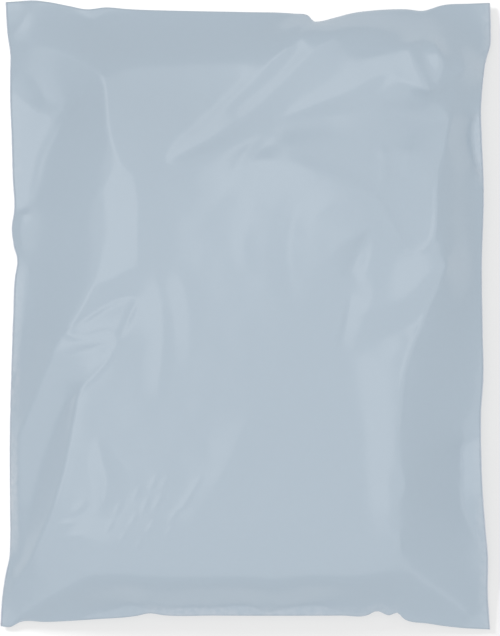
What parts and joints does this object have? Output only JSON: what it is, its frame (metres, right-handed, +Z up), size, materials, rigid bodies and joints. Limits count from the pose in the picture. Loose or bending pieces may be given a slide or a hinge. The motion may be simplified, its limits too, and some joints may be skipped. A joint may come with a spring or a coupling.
{
  "type": "poly mailer bag",
  "caption": "Sealed plastic film mailing bag, packed with a soft folded garment and lying flat on its back, with creased shoulders and thin welded edges.",
  "frame": {"origin": "on the table plane, under the middle of the bag's overall box", "axes": "+Y along the bag's length, from its folded bottom to its closing flap end; +X to the right across its width; +Z up, out of the plain front face"},
  "size_m": [0.3066, 0.394, 0.0362],
  "materials": {
    "blue_grey_film": "satin"
  },
  "bodies": {
    "root": {"mailer_bag": "blue_grey_film"}
  },
  "joints": []
}
